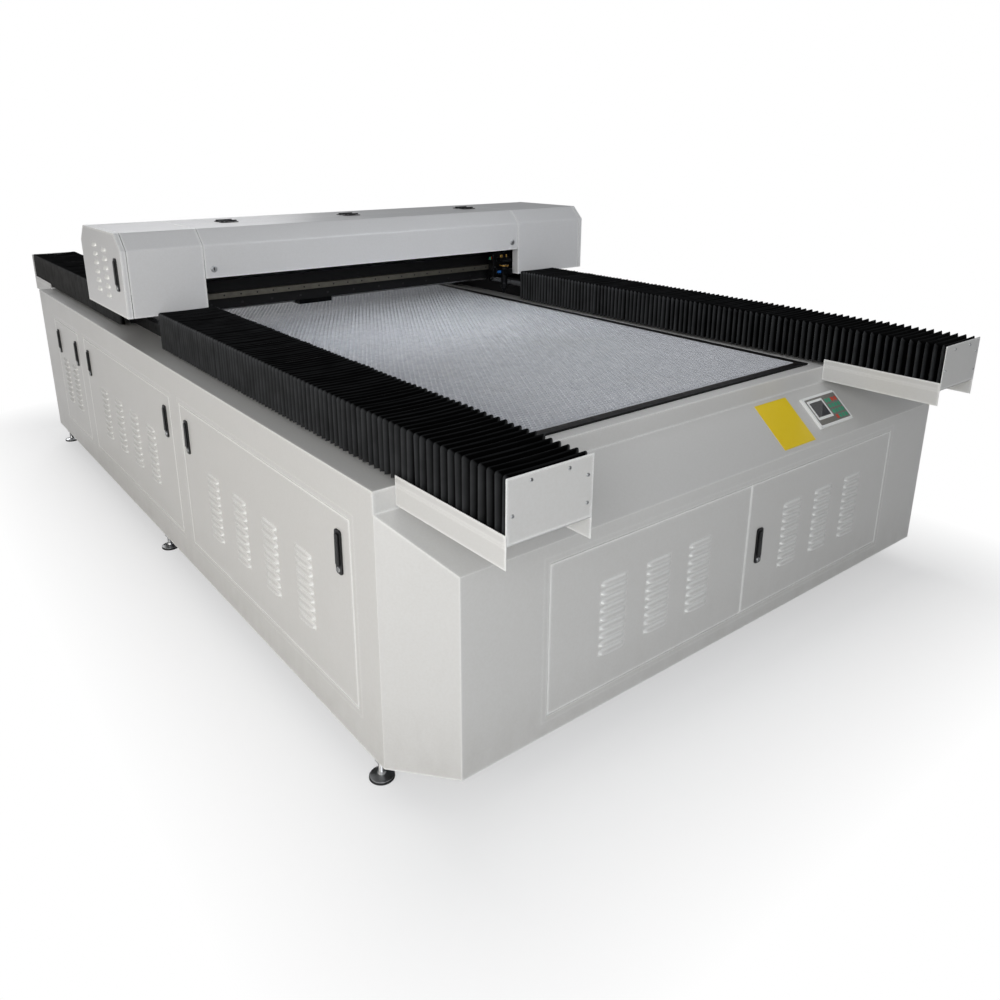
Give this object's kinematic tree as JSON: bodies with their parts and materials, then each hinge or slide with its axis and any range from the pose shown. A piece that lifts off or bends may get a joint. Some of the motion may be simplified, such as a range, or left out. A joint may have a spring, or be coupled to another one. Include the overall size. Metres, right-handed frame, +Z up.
{
  "type": "laser engraving machine",
  "caption": "Large flatbed laser engraving machine with a flying gantry, honeycomb bed, bellows covered rails and a sheet steel cabinet.",
  "frame": {"origin": "middle of the bounding box, on the floor", "axes": "+Z up, -Y towards the operator's console, +X to the operator's right when facing the machine"},
  "size_m": [2.103, 3.77, 1.128],
  "materials": {
    "paint": "satin powder coat",
    "steel": "ground",
    "frame_paint": "satin paint",
    "black_plastic": "gloss",
    "aluminium": "satin",
    "dark_metal": "satin paint",
    "belt_rubber": "matt",
    "cloth": "coated cloth",
    "glass": "clear",
    "keypad": "matt film",
    "notice": "gloss"
  },
  "bodies": {
    "base": {"cabinet_shell": "paint", "frame_weldment": "frame_paint", "levelling_feet": "dark_metal", "power_inlet": "black_plastic", "bed_frame": "dark_metal", "honeycomb_bed": "aluminium", "bed_slats": "steel", "linear_rail_left": "steel", "linear_rail_right": "steel", "y_belt_left": "belt_rubber", "y_belt_right": "belt_rubber", "tray_front_left": "paint", "tray_front_right": "paint", "tray_rear_left": "paint", "tray_rear_right": "paint", "tray_screws": "steel", "control_panel": "keypad", "notice_plate": "notice", "controller_box": "dark_metal", "bellows_front_left": "cloth", "bellows_front_right": "cloth", "bellows_rear_left": "cloth", "bellows_rear_right": "cloth"},
    "gantry": {"gantry_beam": "frame_paint", "gantry_housing_left": "paint", "gantry_housing_right": "paint", "gantry_top_strip": "paint", "lid_hinges": "black_plastic", "guide_blocks": "steel", "laser_tube": "glass", "y_motor": "dark_metal", "x_motor": "dark_metal", "x_rail": "steel", "x_belt": "belt_rubber"},
    "head": {"head_carriage": "aluminium"},
    "lens": {"lens_tube": "aluminium"},
    "front_lid": {"front_lid": "paint"},
    "rear_lid": {"rear_lid": "paint"},
    "cam_lock_left": {"cam_lock_left": "aluminium"},
    "cam_lock_right": {"cam_lock_right": "aluminium"},
    "end_door_left": {"end_door_left": "paint"},
    "end_door_right": {"end_door_right": "paint"},
    "end_latch_left": {"end_latch_left": "black_plastic"},
    "end_latch_right": {"end_latch_right": "black_plastic"},
    "drive_shaft": {"y_drive_shaft": "steel"},
    "drive_pulley": {"x_drive_pulley": "aluminium"},
    "idler_pulley": {"x_idler_pulley": "aluminium"},
    "front_door_left": {"front_door_left": "paint"},
    "front_door_right": {"front_door_right": "paint"},
    "front_door_latch": {"front_door_latch": "black_plastic"},
    "panel_left_front": {"side_panel_left_front": "paint"},
    "latches_left_front": {"latches_left_front": "black_plastic"},
    "panel_left_middle": {"side_panel_left_middle": "paint"},
    "latches_left_middle": {"latches_left_middle": "black_plastic"},
    "panel_left_rear": {"side_panel_left_rear": "paint"},
    "latches_left_rear": {"latches_left_rear": "black_plastic"},
    "panel_right_front": {"side_panel_right_front": "paint"},
    "latches_right_front": {"latches_right_front": "black_plastic"},
    "panel_right_rear": {"side_panel_right_rear": "paint"},
    "latches_right_rear": {"latches_right_rear": "black_plastic"}
  },
  "joints": [
    {"name": "gantry_travel", "type": "slide", "parent": "base", "child": "gantry", "axis": [0, 1, 0], "range_m": [-1.455, 1.02], "deforming": ["bellows_front_left", "bellows_front_right", "bellows_rear_left", "bellows_rear_right"]},
    {"name": "head_travel", "type": "slide", "parent": "gantry", "child": "head", "axis": [1, 0, 0], "range_m": [-1.265, 0]},
    {"name": "lens_focus", "type": "slide", "parent": "head", "child": "lens", "axis": [0, 0, 1], "range_m": [-0.008, 0.008]},
    {"name": "front_lid_hinge", "type": "hinge", "parent": "gantry", "child": "front_lid", "pos_m": [-0.099, 0.1385, 1.124], "axis": [-1, 0, 0], "range_deg": [0, 80]},
    {"name": "rear_lid_hinge", "type": "hinge", "parent": "gantry", "child": "rear_lid", "pos_m": [-0.099, 0.1845, 1.124], "axis": [1, 0, 0], "range_deg": [0, 80]},
    {"name": "cam_lock_left_turn", "type": "hinge", "parent": "front_lid", "child": "cam_lock_left", "pos_m": [-0.7485, -0.081, 0.989], "axis": [0, 1, 0], "range_deg": [0, 90]},
    {"name": "cam_lock_right_turn", "type": "hinge", "parent": "front_lid", "child": "cam_lock_right", "pos_m": [0.5505, -0.081, 0.989], "axis": [0, 1, 0], "range_deg": [0, 90]},
    {"name": "end_door_left_hinge", "type": "hinge", "parent": "gantry", "child": "end_door_left", "pos_m": [-1.0238, 0.401, 0.986], "axis": [0, 0, -1], "range_deg": [0, 110]},
    {"name": "end_door_right_hinge", "type": "hinge", "parent": "gantry", "child": "end_door_right", "pos_m": [0.9368, 0.401, 0.986], "axis": [0, 0, 1], "range_deg": [0, 110]},
    {"name": "end_latch_left_pull", "type": "hinge", "parent": "end_door_left", "child": "end_latch_left", "pos_m": [-1.047, -0.016, 1.041], "axis": [0, 1, 0], "range_deg": [0, 35]},
    {"name": "end_latch_right_pull", "type": "hinge", "parent": "end_door_right", "child": "end_latch_right", "pos_m": [0.96, -0.016, 1.041], "axis": [0, -1, 0], "range_deg": [0, 35]},
    {"name": "drive_shaft_turn", "type": "hinge", "parent": "gantry", "child": "drive_shaft", "pos_m": [-0.0825, 0.188, 0.8063], "axis": [1, 0, 0], "range_deg": [-2900, 4150]},
    {"name": "drive_pulley_turn", "type": "hinge", "parent": "gantry", "child": "drive_pulley", "pos_m": [-0.8135, 0.061, 0.9575], "axis": [0, 1, 0], "range_deg": [-10, 4610]},
    {"name": "idler_pulley_turn", "type": "hinge", "parent": "gantry", "child": "idler_pulley", "pos_m": [0.6375, 0.061, 0.9575], "axis": [0, 1, 0], "range_deg": [-10, 4610]},
    {"name": "front_door_left_hinge", "type": "hinge", "parent": "base", "child": "front_door_left", "pos_m": [-0.6515, -1.669, 0.324], "axis": [0, 0, -1], "range_deg": [0, 110]},
    {"name": "front_door_right_hinge", "type": "hinge", "parent": "base", "child": "front_door_right", "pos_m": [0.8005, -1.669, 0.324], "axis": [0, 0, 1], "range_deg": [0, 110]},
    {"name": "front_door_latch_pull", "type": "hinge", "parent": "front_door_right", "child": "front_door_latch", "pos_m": [0.1295, -1.6715, 0.377], "axis": [-1, 0, 0], "range_deg": [0, 35]},
    {"name": "panel_left_front_off", "type": "slide", "parent": "base", "child": "panel_left_front", "axis": [-1, 0, 0], "range_m": [0, 0.3]},
    {"name": "latches_left_front_pull", "type": "hinge", "parent": "panel_left_front", "child": "latches_left_front", "pos_m": [-1.012, -0.905, 0.598], "axis": [0, 1, 0], "range_deg": [0, 35]},
    {"name": "panel_left_middle_off", "type": "slide", "parent": "base", "child": "panel_left_middle", "axis": [-1, 0, 0], "range_m": [0, 0.3]},
    {"name": "latches_left_middle_pull", "type": "hinge", "parent": "panel_left_middle", "child": "latches_left_middle", "pos_m": [-1.012, 0.242, 0.598], "axis": [0, 1, 0], "range_deg": [0, 35]},
    {"name": "panel_left_rear_off", "type": "slide", "parent": "base", "child": "panel_left_rear", "axis": [-1, 0, 0], "range_m": [0, 0.3]},
    {"name": "latches_left_rear_pull", "type": "hinge", "parent": "panel_left_rear", "child": "latches_left_rear", "pos_m": [-1.012, 1.076, 0.598], "axis": [0, 1, 0], "range_deg": [0, 35]},
    {"name": "panel_right_front_off", "type": "slide", "parent": "base", "child": "panel_right_front", "axis": [1, 0, 0], "range_m": [0, 0.3]},
    {"name": "latches_right_front_pull", "type": "hinge", "parent": "panel_right_front", "child": "latches_right_front", "pos_m": [1.047, -0.905, 0.598], "axis": [0, -1, 0], "range_deg": [0, 35]},
    {"name": "panel_right_rear_off", "type": "slide", "parent": "base", "child": "panel_right_rear", "axis": [1, 0, 0], "range_m": [0, 0.3]},
    {"name": "latches_right_rear_pull", "type": "hinge", "parent": "panel_right_rear", "child": "latches_right_rear", "pos_m": [1.047, 0.242, 0.598], "axis": [0, -1, 0], "range_deg": [0, 35]}
  ],
  "couplings": [
    {"joint": "drive_shaft_turn", "follows": "gantry_travel", "rad_per_m": -49.261},
    {"joint": "drive_pulley_turn", "follows": "head_travel", "rad_per_m": -63.291},
    {"joint": "idler_pulley_turn", "follows": "head_travel", "rad_per_m": -63.291}
  ]
}
